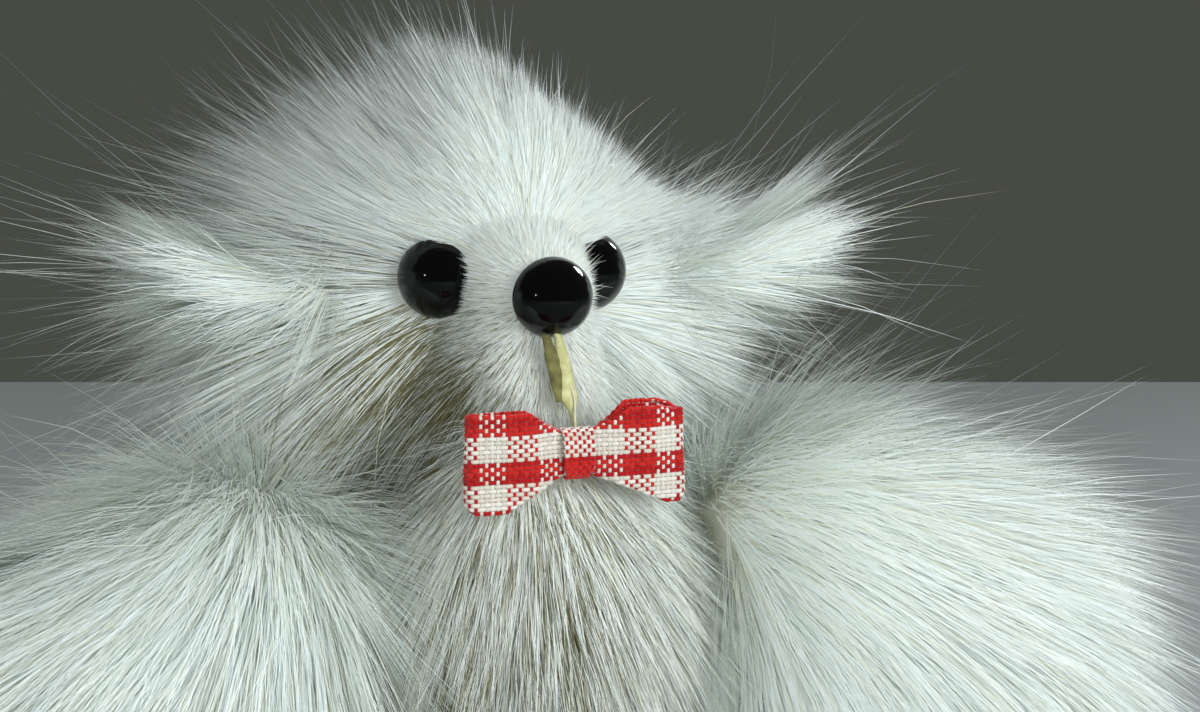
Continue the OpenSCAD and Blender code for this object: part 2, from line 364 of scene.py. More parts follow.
def makeSkin(name, body, hulls, low=(-1, -1, -1), high=(1, 1, 1)):
    # hulls melted into one skin that keeps between two corners
    work = bmesh.new()
    for balls in hulls:
        hullOf(work, balls)
    melted = melt(bmeshToMesh(work, name + "_rough"), skinSettings["voxel"])
    work = bmesh.new()
    work.from_mesh(melted)
    for step in range(skinSettings["smoothing"]):
        smoothed(work, 0.5)
    for vert in work.verts:
        vert.co = Vector(min(max(c, l), h) for c, l, h in zip(vert.co, low, high))
    bpy.data.meshes.remove(melted)
    skin = addObject(name, bmeshToMesh(work, name), [furHide], body)
    return skin


def stuff(name, body, skin, node):
    # wadding pushed in behind the skin: the same form, lumpier and a little smaller
    melted = melt(skin.data.copy(), wadding["voxel"])
    work = bmesh.new()
    work.from_mesh(melted)
    work.normal_update()
    for vert in work.verts:
        lump = noise.noise(vert.co * wadding["lumpScale"])
        vert.co = vert.co - vert.normal * (wadding["under"] - wadding["lump"] * lump) * mm
    smoothed(work, 0.3)
    bpy.data.meshes.remove(melted)
    piece = addObject(name, bmeshToMesh(work, name), [fibrefill], body)
    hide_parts(node)
    return piece


headLow, headHigh = boxOf("head_pelt")
skullOut = (headHigh.x - headLow.x) / 2
head = Vector((0, headHigh.y - skullOut, headHigh.z - skullOut))
torsoLow, torsoHigh = boxOf("torso_pelt")
chest = Vector((0, torsoLow.y + 19.5 * mm, torsoHigh.z - 18.4 * mm))
rump = Vector((0, torsoHigh.y - 23 * mm, torsoLow.z + 24 * mm))
noseLow, noseHigh = boxOf("nose")
nose = Vector((0, noseLow.y, (noseLow.z + noseHigh.z) / 2))
bowLow, bowHigh = boxOf("bow_ribbon")
bow = (bowLow + bowHigh) / 2

headSkin = makeSkin("head_skin", "head", [
    [(head, 13.3), (head + offset(0, -4.5, 3), 9.4)],
    [(head + offset(8, -1.5, -6.5), 8.2), (head + offset(-8, -1.5, -6.5), 8.2),
     (head + offset(0, 2, -8), 10)],
    [(head + offset(0, -9.5, -1.5), 6.4), (head + offset(0, -15.8, -2.6), 4.5)],
    [(head + offset(0, -15.2, -3.6), 4.2), (head + offset(0, -15.4, -8.5), 5.0),
     (head + offset(0, -8, -12), 7.5)],
    [(head + offset(0, -15.2, -10.5), 5.6), (head + offset(0, -7, -13), 9), (head + offset(0, 0, -13), 10)],
], (-1, -1, headLow.z))
torsoSkin = makeSkin("torso_skin", "torso", [
    [(chest, 15.3), (chest + offset(0, -3.5, 7), 11.5), (chest + offset(0, 3, -20), 14),
     (rump, 17), (rump + offset(0, 2, -8), 14)],
    [(chest + offset(11.5, 1, -2), 8), (chest + offset(-11.5, 1, -2), 8), (chest + offset(0, 3, -16), 13)],
], (torsoLow.x, -1, torsoLow.z + 0.3 * mm), (torsoHigh.x, 1, torsoHigh.z))

sides = ((1, "left"), (-1, "right"))     # the dog's own left is at +x


def legBox(leg, side):
    # its box, and the two corners that its skin keeps between
    low, high = boxOf(leg + "_pelt")
    inLow = Vector((low.x if side > 0 else -1, -1, low.z + 0.4 * mm))
    inHigh = Vector((1 if side > 0 else high.x, 1, 1))
    return low, high, inLow, inHigh


legSkins = {}
for side, name in sides:
    low, high, inLow, inHigh = legBox("foreleg_" + name, side)
    paw = Vector((side * (max(abs(low.x), abs(high.x)) - 15.4 * mm), low.y + 15 * mm, low.z + 14 * mm))
    legSkins["foreleg_" + name] = makeSkin(f"foreleg_{name}_skin", f"foreleg_{name}", [
        [(paw + offset(-20.5 * side, 10, 23), 13.6), (paw + offset(-9.5 * side, 7, 19), 13), (paw, 10.4)],
        [(paw + offset(-20 * side, 8, 16), 13), (paw + offset(-18 * side, 6, 2), 11),
         (paw + offset(0, 0, -3), 10)],
        [(paw + offset(0, 0, -4), 9.6), (paw + offset(1 * side, -4, -6), 7.6)],
    ], inLow, inHigh)
    low, high, inLow, inHigh = legBox("hindleg_" + name, side)
    thigh = Vector((side * (max(abs(low.x), abs(high.x)) - 22.5 * mm), high.y - 20 * mm, high.z - 20 * mm))
    legSkins["hindleg_" + name] = makeSkin(f"hindleg_{name}_skin", f"hindleg_{name}", [
        [(thigh + offset(2 * side, 0, 0), 14.5), (thigh + offset(6 * side, -2, -8), 11.5)],
        [(thigh + offset(8 * side, -6, -12), 8), (thigh + offset(14 * side, -15, -13), 6.5)],
    ], inLow, inHigh)

tailLow, tailHigh = boxOf("tail_pelt")
tailRoot = Vector((0, tailLow.y + 4 * mm, tailLow.z + 7 * mm))
tailTip = Vector((0, tailHigh.y - 8 * mm, tailHigh.z - 6 * mm))
tailSkin = makeSkin("tail_skin", "tail", [
    [(tailRoot, 4), ((tailRoot + tailTip) / 2 + offset(0, 3, 0), 4.2)],
    [((tailRoot + tailTip) / 2 + offset(0, 3, 0), 4.2), (tailTip, 3)],
])
earSkins = {}
for side, name in sides:
    low, high = boxOf(f"ear_{name}")
    middle = (low + high) / 2
    inner = Vector((side * min(abs(low.x), abs(high.x)), middle.y, middle.z - 1 * mm))
    outer = Vector((side * max(abs(low.x), abs(high.x)), middle.y, middle.z + 1 * mm))
    earSkins[name] = makeSkin(f"ear_{name}_skin", f"ear_{name}", [
        [(inner + offset(2 * side, 4, 0), 1.8), (inner + offset(2 * side, -4, 0), 1.8),
         (outer + offset(-5 * side, 3.4, 0), 1.6), (outer + offset(-5 * side, -3.4, 0), 1.6),
         (outer + offset(-2 * side, 0, 0), 1.4)],
    ])
stuff("torso_wadding", "torso", torsoSkin, "torso_stuffing")
stuff("head_wadding", "head", headSkin, "head_stuffing")
for name, skin in legSkins.items():
    stuff(name + "_wadding", name, skin, name + "_stuffing")
print("skins and wadding are made")


# fur

coat = {
    "taper": (0.8, 1.0, 0.75, 0.0),     # share of the full width at each point
    "tuft": 3.4,             # mm between large tufts
    "lock": 1.2,             # mm between fine locks
    "tuftPull": 0.22,
    "lockPull": 0.38,
    "guardShare": 0.04,
    "guardLength": 1.45,
    "followSkin": 0.93,      # how far a shaft is shaded like the coat it lies in
    "tones": (0.40, 0.76, 0.95),        # where each tone's share of the hairs ends
    "guideBends": (0.2, 0.13),          # random bend of a tuft and of a lock
    "scatter": 0.09,
    "guardScatter": 0.22,
    "lengthSpread": 0.22,
}


def unit(vectors):
    return vectors / np.maximum(np.linalg.norm(vectors, axis=-1, keepdims=True), 1e-9)


def blend(x, low, high):
    t = np.clip((x - low) / (high - low), 0, 1)
    return t * t * (3 - 2 * t)


def mixed(a, b, share):
    return np.asarray(a, float) * (1 - share[:, None]) + np.asarray(b, float) * share[:, None]


def rootsOn(skin, count, want, rng):
    # evenly spread roots, thinned by want(points, normals), which gives 0 to 1
    mesh = skin.data
    mesh.calc_loop_triangles()
    places = np.empty(len(mesh.vertices) * 3)
    mesh.vertices.foreach_get("co", places)
    places = places.reshape(-1, 3)
    directions = np.empty(len(mesh.vertices) * 3)
    mesh.vertices.foreach_get("normal", directions)
    directions = directions.reshape(-1, 3)
    corners = np.empty(len(mesh.loop_triangles) * 3, dtype=np.int32)
    mesh.loop_triangles.foreach_get("vertices", corners)
    corners = corners.reshape(-1, 3)
    a, b, c = (places[corners[:, i]] for i in range(3))
    area = np.linalg.norm(np.cross(b - a, c - a), axis=1) / 2
    centres, facing = (a + b + c) / 3, unit(directions[corners].mean(axis=1))
    weight = area * np.clip(want(centres, facing), 0, 1)
    picked = rng.choice(len(corners), size=count, p=weight / weight.sum())
    s, t = rng.random(count), rng.random(count)
    flip = s + t > 1
    s[flip], t[flip] = 1 - s[flip], 1 - t[flip]
    mix = np.stack([1 - s - t, s, t], axis=1)[:, :, None]
    points = (places[corners[picked]] * mix).sum(axis=1)
    normals = unit((directions[corners[picked]] * mix).sum(axis=1))
    return points, normals


def nearest(points, centres):
    tree = kdtree.KDTree(len(centres))
    for i, centre in enumerate(centres):
        tree.insert(centre, i)
    tree.balance()
    return np.array([tree.find(p)[1] for p in points])


def curvesFrom(points, normals, look, sway, length, along):
    # sway is (n, 3) random bend, length in metres
    # a hair whose comb already points well out of the skin keeps it, the rest lie along the skin and lift
    wish = unit(look["comb"])
    out = (wish * normals).sum(axis=1, keepdims=True)
    comb = unit(wish - out * normals)
    lift = look["lift"][:, None]
    start = np.where(out > np.sin(lift), wish, unit(normals * np.sin(lift) + comb * np.cos(lift)))
    start = unit(start + sway * 0.5)
    drop = np.array([0.0, 0.0, -1.0]) * look["droop"][:, None]
    onward = unit(comb * (1 - np.clip(out, 0, 1)) + 0.8 * wish)
    end = unit(normals * np.sin(lift) * look["ease"][:, None] + onward * np.cos(lift) + drop + sway)
    start, end, size = start[:, None, :], end[:, None, :], length[:, None, None]
    return points[:, None, :] + size * (start * (along - along ** 2 / 2) + end * along ** 2 / 2) * 1.06


# the coat may stand proud of the model's box by so much, and never below the floor
boxLow, boxHigh = (np.array(corner) for corner in cadBounds)
spare = 0.03 * (boxHigh - boxLow) + 9.3 * mm
coatLow, coatHigh = boxLow - spare, boxHigh + spare
coatLow[2] = 0.0001


def keepInside(strands, rng):
    # long hairs are cut back to the box, and those at the floor lie on it
    roots = strands[:, :1]
    reach = strands - roots
    share = np.ones(strands.shape)
    over, under = reach > 1e-9, reach < -1e-9
    share[over] = ((coatHigh - roots) / np.where(over, reach, 1))[over]
    share[under] = ((np.array([coatLow[0], coatLow[1], -1]) - roots) / np.where(under, reach, 1))[under]
    cut = np.clip(share.min(axis=(1, 2)), 0.05, 1)
    strands = roots + reach * cut[:, None, None]
    lie = coatLow[2] + rng.random(len(strands))[:, None] * 0.7 * mm
    strands[:, :, 2] = np.maximum(strands[:, :, 2], lie)
    return strands


def makeStrands(name, body, strands, normals, width, tones, rng):
    # a flat tapered shaft for each hair: two edge points at each step, and one at the tip
    count, steps = strands.shape[:2]
    last = steps - 1
    tangents = unit(np.gradient(strands, axis=1))
    across = np.cross(tangents, normals[:, None, :]) + rng.normal(0, 0.25, (count, 1, 3))
    across = unit(across - (across * tangents).sum(axis=2, keepdims=True) * tangents)
    faces = np.cross(across, tangents)
    turned = np.where((faces[:, 1] * normals).sum(axis=1) < 0, -1.0, 1.0)[:, None, None]
    across, faces = across * turned, faces * turned
    shading = unit(coat["followSkin"] * normals[:, None, :] + (1 - coat["followSkin"]) * faces)
    half = across * width[:, None, None] * np.array(coat["taper"])[None, :, None] / 2
    edges = np.stack([strands[:, :last] - half[:, :last], strands[:, :last] + half[:, :last]], axis=2)
    perStrand = 2 * last + 1
    corners = np.concatenate([edges.reshape(count, 2 * last, 3), strands[:, last:]], axis=1).reshape(-1, 3)
    shades = np.concatenate([np.repeat(shading[:, :last], 2, axis=1), shading[:, last:]], axis=1)
    shades = shades.reshape(-1, 3)
    quads = np.array([[2 * i, 2 * i + 1, 2 * i + 3, 2 * i + 2] for i in range(last - 1)]).ravel()
    pattern = np.concatenate([quads, [2 * last - 2, 2 * last - 1, 2 * last]])
    loops = (np.arange(count)[:, None] * perStrand + pattern[None, :]).ravel()
    sizes = np.tile([4] * (last - 1) + [3], count)
    mesh = meshFrom(name, corners, loops, sizes, np.repeat(tones, last))
    mesh.attributes.new("custom_normal", "FLOAT_VECTOR", "POINT").data.foreach_set("vector", shades.ravel())
    mesh.update()
    return addObject(name, mesh, furMaterials, body)


def growFur(name, body, skin, count, width, style, want, seed):
    rng = np.random.default_rng(seed)
    points, normals = rootsOn(skin, count, want, rng)
    skinArea = sum(p.area for p in skin.data.polygons)
    along = np.linspace(0, 1, len(coat["taper"]))[None, :, None]
    guides = []
    for gap, bend in zip((coat["tuft"], coat["lock"]), coat["guideBends"]):
        total = max(30, int(skinArea / (gap * mm) ** 2))
        spots, facing = rootsOn(skin, total, want, rng)
        look = style(spots, facing)
        sway = rng.normal(0, bend, (total, 3))
        size = look["length"] * (1 + rng.normal(0, 0.1, total))
        guides.append((nearest(points, spots), curvesFrom(spots, facing, look, sway, size, along), sway))
    look = style(points, normals)
    scatter = rng.normal(0, coat["scatter"], (count, 3)) + guides[0][2][guides[0][0]] * 0.7
    size = look["length"] * np.clip(1 + rng.normal(0, coat["lengthSpread"], count), 0.4, 1.7)
    guard = rng.random(count) < coat["guardShare"]
    size[guard] *= coat["guardLength"]
    scatter[guard] += rng.normal(0, coat["guardScatter"], (guard.sum(), 3))
    strands = curvesFrom(points, normals, look, scatter, size, along)
    for (owner, curves, _), pull in zip(guides, (coat["tuftPull"], coat["lockPull"])):
        hold = (pull * look["clump"] * (0.5 + 0.5 * rng.random(count)) * ~guard)[:, None, None] * along ** 1.6
        strands = strands * (1 - hold) + curves[owner] * hold
    strands = keepInside(strands, rng)
    keep = clearOfPieces(strands, rng)
    pick = rng.random(count) * (1 - 0.6 * look["warmth"]) + 0.6 * look["warmth"]
    tones = np.searchsorted(coat["tones"], pick)
    # hairs in creases and hollows take the dark tone of painted shade
    tones[rng.random(count) < 0.9 * look["dusk"]] = list(furTones).index("dusky")
    fewer = 1     # fewer hairs have to be wider
    thickness = width * mm * (1 + rng.normal(0, 0.15, count)) * np.where(guard, 0.8, 1) * fewer
    fur = makeStrands(name, body, strands[keep], normals[keep], thickness[keep], tones[keep], rng)
    print(f"{name}: {keep.sum()} hairs")
    return fur


# painted shade and a trough in the hair: darker, shorter hair under the eye and beside the muzzle on one
# side, in the crease of the neck and between the forelegs, where shade falls. Middle from the head in mm, how
# far it spreads, and its share
paintedShadeAndTroughSpots = [
    ((-8.4, -12, -7), 3.2, 1.0), ((-5.4, -14, -10.5), 3.6, 1.0), ((-11.5, -13, -15), 5.0, 1.0),
    ((-16, -12, -17), 5.0, 1.0), ((-11, -19, -40), 5.5, 1.0), ((-4, -24, -31), 8.5, 0.45),
]


def paintedShadeAndTroughAt(points):
    dusk = np.zeros(len(points))
    for middle, spread, share in paintedShadeAndTroughSpots:
        gap = np.linalg.norm((points - np.array(head)) / mm - np.array(middle), axis=1)
        dusk = np.maximum(dusk, share * np.exp(-0.5 * (gap / spread) ** 2))
    return dusk


def lookOf(points, length, comb, lift, droop=0.15, ease=0.8, clump=1.0, warmth=0.0):
    # lengths in mm, lift in degrees; single numbers are spread over all hairs
    n, dusk = len(points), paintedShadeAndTroughAt(points)
    look = {"length": length, "lift": lift, "droop": droop, "ease": ease, "clump": clump, "warmth": warmth}
    look = {key: np.broadcast_to(np.asarray(value, float), (n,)).copy() for key, value in look.items()}
    # the same hairs are also shorter, so the coat really dips there
    look["length"] = look["length"] * (1 - 0.45 * dusk) * mm
    look["lift"] = np.radians(look["lift"])
    return {**look, "comb": np.broadcast_to(comb, (n, 3)).copy(), "dusk": dusk}


eyes = {}
for side, name in sides:
    washer = middleOf(f"eye_{name}_washer")
    outward = (washer - head).normalized()
    eyes[name] = {"base": washer + outward * 3.6 * mm, "out": outward, "radius": 4.0 * mm}
noseBase = Vector((0, noseLow.y + 3.6 * mm, nose.z))
seamLow, seamHigh = boxOf("chin_seam")


# how far hairs keep off the pieces, in mm, and the share that may still lie across each
clearing = {
    "eyeShare": 0.96,        # of the eye's radius
    "eyeReach": 14,
    "eyeKept": 0.004,
    "fringeFrom": 1.2,       # inwards of the eye's middle
    "fringeKept": 0.95,
    "nose": 4.05,
    "seamHalf": 1.3,
    "seamKept": 0.04,
    "bowEdge": 0.15,
    "bowKept": 0.002,
    "bowTopKept": 0.10,
    "bowFrontKept": 0.012,
}


def clearOfPieces(strands, rng):
    # hairs that would lie across an eye, the nose, the bare seam or the bow are left out, but for a few
    halves = (strands[:, 1:] + strands[:, :-1]) / 2
    spots = np.concatenate([strands, halves], axis=1)
    chance = rng.random(len(strands))
    keep = np.ones(len(strands), bool)
    for eye in eyes.values():
        out, base = np.array(eye["out"]), np.array(eye["base"])
        gap = spots - base
        along = gap @ out
        aside = np.linalg.norm(gap - along[..., None] * out, axis=2)
        across = (along > -0.3 * mm) & (along < clearing["eyeReach"] * mm)
        across &= aside < clearing["eyeShare"] * eye["radius"]
        inward = -np.sign(base[0]) * gap[..., 0]
        fringe = inward > clearing["fringeFrom"] * mm
        keep &= ~((across & ~fringe).any(axis=1) & (chance > clearing["eyeKept"]))
        keep &= ~((across & fringe).any(axis=1) & (chance > clearing["fringeKept"]))
    gap = spots - np.array(noseBase)
    aside = np.hypot(gap[..., 0], gap[..., 2])
    keep &= ~((gap[..., 1] < -0.15 * mm) & (aside < clearing["nose"] * mm)).any(axis=1)
    x, y, z = spots[..., 0], spots[..., 1], spots[..., 2]
    rootX, rootZ = strands[:, 0, 0], strands[:, 0, 2]
    atSeam = (abs(x - 0.2 * mm) < clearing["seamHalf"] * mm) & (z > seamLow.z) & (z < seamHigh.z)
    atSeam &= y < seamHigh.y - 0.4 * mm
    keep &= ~(atSeam.any(axis=1) & (chance > clearing["seamKept"] + 0.1 * (rootX < -1 * mm)))
    edge = clearing["bowEdge"] * mm
    atBow = (x > bowLow.x - edge) & (x < bowHigh.x + edge) & (z > bowLow.z - edge) & (z < bowHigh.z + edge)
    atBow &= y < bowHigh.y - 0.5 * mm
    fromAbove = (rootX < 0.5 * mm) & (rootZ > bowHigh.z - 2 * mm)
    few = np.where(fromAbove, clearing["bowTopKept"], clearing["bowKept"])
    low = (atBow & (z < bow.z + 2.2 * mm)).any(axis=1)
    few = np.where(low, clearing["bowFrontKept"] * (rootZ > bow.z), few)
    keep &= ~(atBow.any(axis=1) & (chance > few))
    return keep


def headStyle(points, normals):
    x, y, z = ((points - np.array(head)) / mm).T
    fromNose = points - np.array(nose + offset(0, 3, 0))
    reach, outward = np.linalg.norm(fromNose / mm, axis=1), unit(fromNose)
    top, low, back = blend(z, 1, 9), blend(-z, 3, 10), blend(y, 0, 9)
    side = blend(np.abs(x), 4, 11)
    ones = np.ones(len(x))
    crown = mixed((-0.8, -0.1, 0.9), (-0.1, 0, 1.0), blend(x, -6, 5))
    cheekRight = mixed((1.0, -0.05, 0.3), (0.85, -0.15, -0.5), blend(-z, 0, 9))
    cheekLeft = mixed((-1.0, -0.1, 0.5), (-0.8, -0.2, -0.65), blend(-z, -4, 8))
    cheek = mixed(cheekLeft, cheekRight, blend(x, -1, 1))
    target = mixed(cheek, crown, top)
    under = np.stack([0.55 * np.sign(x), -0.15 * ones, -1.0 * ones], axis=1)
    target = mixed(target, under, low * (1 - side))
    target = mixed(target, np.stack([0.03 * x, 0.8 * ones, 0.25 - 0.5 * low], axis=1), back * 0.8)
    comb = mixed(outward, unit(target), 0.9 * blend(reach, 7, 17))
    length = 1.5 + 1.9 * blend(reach, 3, 8) + 3.4 * blend(reach, 8, 16)
    length += top * blend(reach, 13, 21) * (4.0 - 3.6 * blend(x, -5, 6))
    rightTop = blend(x, -1, 5) * blend(z, -1, 5)
    cheeks = side * blend(reach, 12, 19) * (1 - 0.6 * top)
    length += cheeks * (6.5 + 2.5 * blend(-x, 3, 9)) * (1 - 0.9 * rightTop)
    length -= rightTop * (1.5 + 1.5 * blend(y, -6, 4))
    length -= 4.0 * blend(-x, 1, 9) * blend(z, 0, 7)
    length += 7.5 * blend(-x, 4, 10) * blend(-z, 0, 6)
    length += back * (4.5 - 3.0 * blend(z, 7, 12))
    # the hanging loop parts the hair before it
    loopGap = np.linalg.norm((points - np.array(head + offset(7.4, 0.5, 11.5))) / mm, axis=1)
    length *= 1 - 0.55 * np.exp(-0.5 * (loopGap / 3.2) ** 2)
    lift = 34 - 12 * blend(reach, 3, 8) + 20 * top * blend(reach, 14, 22) + 4 * side
    # the hair round the nose is creamier; the extra cream under the chin on the dog's right side is painted
    # shade
    warmth = 0.45 * (1 - blend(reach, 4, 13)) + 0.25 * low * (1 - side) * (x < 0)
    return lookOf(points, length, comb, lift, droop=0.05 + 0.1 * low, ease=0.75,
                  clump=0.5 + 0.6 * blend(reach, 9, 18), warmth=warmth)


def headWant(points, normals):
    want = np.ones(len(points))
    for eye in eyes.values():
        gap = np.linalg.norm(points - np.array(eye["base"]), axis=1) / eye["radius"]
        want *= blend(gap, 0.8, 0.95)
    noseGap = np.linalg.norm(points - np.array(noseBase), axis=1) / mm
    want *= blend(noseGap, 2.6, 3.6)
    want *= blend((points[:, 2] - headLow.z) / mm, -0.2, 0.8)
    return want


def headPart(low, high, atBack):
    # the part of the head between two heights above its middle, in mm; the back has its own share
    def want(points, normals):
        z = (points[:, 2] - head.z) / mm
        y = (points[:, 1] - head.y) / mm
        share = blend(z, low - 2, low + 2) * (1 - blend(z, high - 2, high + 2))
        share = share * (atBack + (1 - atBack) * blend(-y, -4, 4))
        return headWant(points, normals) * share
    return want


def facePart(points, normals):
    reach = np.linalg.norm((points - np.array(nose)) / mm, axis=1)
    return headWant(points, normals) * (1 - blend(reach, 13, 20))


def torsoStyle(points, normals):
    x, y, z = ((points - np.array(chest)) / mm).T
    front = blend(-y, -2, 9)
    ones = np.ones(len(x))
    down = np.stack([0.03 * x - 0.2 * blend(-z, 0, 14), -0.25 * ones, -1.0 * ones], axis=1)
    beside = blend(np.abs(x), 9, 16)
    down = mixed(down, np.stack([0.7 * np.sign(x), -0.5 * ones, -0.7 * ones], axis=1), beside)
    rear = np.stack([0.2 * np.sign(x), 0.9 * ones, -0.45 * ones], axis=1)
    comb = mixed(rear, down, front)
    length = 13 - 1.5 * front - 4 * blend(-z, 20, 34) - 4.5 * front * blend(z, 4, 14) * (1 - beside)
    length += 5 * beside * blend(z, -14, 4)
    lift = 32 + 4 * front + 8 * beside
    return lookOf(points, length, comb, lift, droop=0.2, ease=0.7, warmth=0.5 * front)


def torsoPart(isFront):
    def want(points, normals):
        y = (points[:, 1] - chest.y) / mm
        share = 1 - blend(y, -2, 6) if isFront else blend(y, -4, 4)
        return (0.1 + 0.9 * blend(points[:, 2] / mm, 0.5, 4)) * share
    return want


def legStyle(side, fore):
    # the dog's right foreleg has its inner hair swept over the chest
    inward, outward = (0.6, 0.2) if side < 0 else (0.3, 0.7)

    def style(points, normals):
        x, y, z = (points / mm).T
        out = side * x
        high = blend(z, 26, 46) if fore else blend(z, 18, 34)
        outer = blend(out, 20, 46) if fore else blend(out, 22, 40)
        down = mixed((-inward * side, -0.45, -0.9), (0.6 * side, -0.15, -0.95), outer)
        over = mixed((outward * side, -0.8, -0.45), (1.0 * side, -0.5, -0.3), outer)
        comb = mixed(down, over, high)
        if not fore:
            comb = comb * np.array([1, -1, 1])
        length = 10 + 6 * blend(z, 4, 30) + 1.5 * outer - 2.5 * blend(out, 50, 62)
        lift = 22 + (14 if side > 0 else 5) * high - 6 * outer * (1 - high)
        return lookOf(points, length, comb, lift, droop=0.3, ease=0.8, clump=0.5)
    return style


def legWant(points, normals):
    # the inner side is bare but where it stands out before the chest
    x, y, z = (points / mm).T
    low = 0.08 + 0.92 * blend(z, 0.6, 4)
    shown = np.maximum(blend(np.abs(x), 20.3, 21.3), blend(-y, 30, 36))
    return low * (0.15 + 0.85 * shown)


def tailStyle(points, normals):
    comb = np.array([0, 0.3, 1.0]) + 0.5 * normals
    return lookOf(points, 12, comb, 40, droop=0.2, ease=0.8)


def earStyle(side, middle):
    # the flap's hair fans out and thins towards its tip
    def style(points, normals):
        x, y, z = ((points - np.array(middle)) / mm).T
        ones = np.ones(len(x))
        fan = np.where(z < 0, 0.32, 0.2) * z
        comb = np.stack([side * ones, -0.15 + 0.06 * y, (0.25 if side > 0 else 0.08) + fan], axis=1)
        length = (14.5 - 4.5 * blend(side * x, -2, 7)) * (0.4 + 0.85 * ((np.sin(91 * x) + 1) / 2) ** 2)
        return lookOf(points, length, comb, 14, droop=0.12, ease=0.9, clump=2.0)
    return style


def everywhere(points, normals):
    return np.ones(len(points))


# name, body, skin, hairs, width in mm, comb, where, seed
coatPlan = [
    ("face_fur", "head", headSkin, 38000, 0.068, headStyle, facePart, 11),
    ("cheek_fur", "head", headSkin, 38000, 0.072, headStyle, headPart(-16, 3, 0.6), 12),
    ("crown_fur", "head", headSkin, 38000, 0.07, headStyle, headPart(1, 16, 0.6), 13),
    ("chest_fur", "torso", torsoSkin, 33000, 0.08, torsoStyle, torsoPart(True), 21),
    ("back_fur", "torso", torsoSkin, 22000, 0.1, torsoStyle, torsoPart(False), 22),
    ("tail_fur", "tail", tailSkin, 6000, 0.09, tailStyle, everywhere, 31),
]
for side, name in sides:
    foreleg, hindleg = legSkins["foreleg_" + name], legSkins["hindleg_" + name]
    fore, hind, ear = "foreleg_" + name, "hindleg_" + name, "ear_" + name
    foreStyle, hindStyle = legStyle(side, True), legStyle(side, False)
    fan = earStyle(side, middleOf(ear))
    coatPlan += [
        (fore + "_fur", fore, foreleg, 36000, 0.092, foreStyle, legWant, 41 + side),
        (fore + "_fur_over", fore, foreleg, 14000, 0.092, foreStyle, legWant, 44 + side),
        (hind + "_fur", hind, hindleg, 15000, 0.1, hindStyle, legWant, 51 + side),
        (ear + "_fur", ear, earSkins[name], 10000, 0.07, fan, everywhere, 61 + side),
    ]
for plan in coatPlan:
    growFur(*plan)
print("fur is grown")


# eyes and nose

dome = {"segments": 96, "rings": 22, "rim": 0.35, "shank": 1.2, "shankLong": 7.5}


def makeDome(name, body, node, base, outward, radius, rise, squash=1.0):
    # a moulded dome: a low cap over a short rounded rim, with its shank behind
    sphere = (radius ** 2 + rise ** 2) / (2 * rise)
    work = bmesh.new()
    reach = math.asin(min(1, radius / sphere))
    outline = []
    for step in range(dome["rings"] + 1):
        angle = reach * step / dome["rings"]
        up = sphere * math.cos(angle) - sphere + rise
        outline.append(work.verts.new((sphere * math.sin(angle), 0, up)))
    rim = dome["rim"] * mm
    for step in range(1, 7):
        angle = math.pi / 2 * step / 6
        outline.append(work.verts.new((radius - rim * (1 - math.cos(angle)), 0, -rim * math.sin(angle))))
    shank, end = dome["shank"] * mm, -dome["shankLong"] * mm
    for x, z in ((shank, -rim), (shank, end), (0, end)):
        outline.append(work.verts.new((x, 0, z)))
    edges = [work.edges.new(pair) for pair in zip(outline, outline[1:])]
    bmesh.ops.spin(work, geom=outline + edges, cent=(0, 0, 0), axis=(0, 0, 1), angle=math.tau,
                   steps=dome["segments"], use_merge=True)
    bmesh.ops.remove_doubles(work, verts=work.verts, dist=1e-7)
    bmesh.ops.scale(work, vec=(1, squash, 1), verts=work.verts)
    bmesh.ops.recalc_face_normals(work, faces=work.faces)
    place = Matrix.Translation(base) @ outward.to_track_quat("Z", "Y").to_matrix().to_4x4()
    bmesh.ops.transform(work, matrix=place, verts=work.verts)
    piece = addObject(name, bmeshToMesh(work, name), [blackPlastic], body)
    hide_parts(node)
    return piece


for name, eye in eyes.items():
    makeDome(f"eye_dome_{name}", "head", f"eye_{name}", eye["base"], eye["out"], eye["radius"], 3.0 * mm)
makeDome("nose_dome", "head", "nose", noseBase, Vector((0, -1, 0)), 4.1 * mm, 3.6 * mm, 0.96)
print("eyes and nose are set")


# threads laid as fine tubes: points and outward are (threads, points, 3), in metres
def threadTubes(points, outward, width, thick, closed, slots, sides=6):
    count, length = points.shape[:2]
    if closed:
        tangents = np.roll(points, -1, axis=1) - np.roll(points, 1, axis=1)
    else:
        tangents = np.gradient(points, axis=1)
    tangents = unit(tangents)
    side = unit(np.cross(tangents, outward))
    up = np.cross(side, tangents)
    angles = np.arange(sides) * math.tau / sides
    width, thick = (np.broadcast_to(np.asarray(w, float), (count, length))[:, :, None, None] * mm / 2
                    for w in (width, thick))
    rings = points[:, :, None, :] + side[:, :, None, :] * np.cos(angles)[:, None] * width
    rings = rings + up[:, :, None, :] * np.sin(angles)[:, None] * thick
    spans = length if closed else length - 1
    i, j = np.meshgrid(np.arange(spans), np.arange(sides), indexing="ij")
    i, j, ahead, beside = i.ravel(), j.ravel(), ((i + 1) % length).ravel(), ((j + 1) % sides).ravel()
    faces = np.stack([i * sides + j, ahead * sides + j, ahead * sides + beside, i * sides + beside], axis=1)
    faces = [list(face) for face in faces]
    if not closed:
        faces.append(list(range(sides)))
        faces.append([(length - 1) * sides + k for k in reversed(range(sides))])
    return rings.reshape(count, -1, 3), faces, slots


def meshOfThreads(name, parts):
    # parts are what threadTubes gives
    places, loops, sizes, slots, start = [], [], [], [], 0
    for rings, faces, tones in parts:
        flat = np.concatenate(faces)
        counts = [len(face) for face in faces]
        for thread, tone in zip(rings, tones):
            places.append(thread)
            loops.append(flat + start)
            sizes.append(counts)
            slots.append([tone] * len(counts))
            start += len(thread)
    return meshFrom(name, *(np.concatenate(part) for part in (places, loops, sizes, slots)))


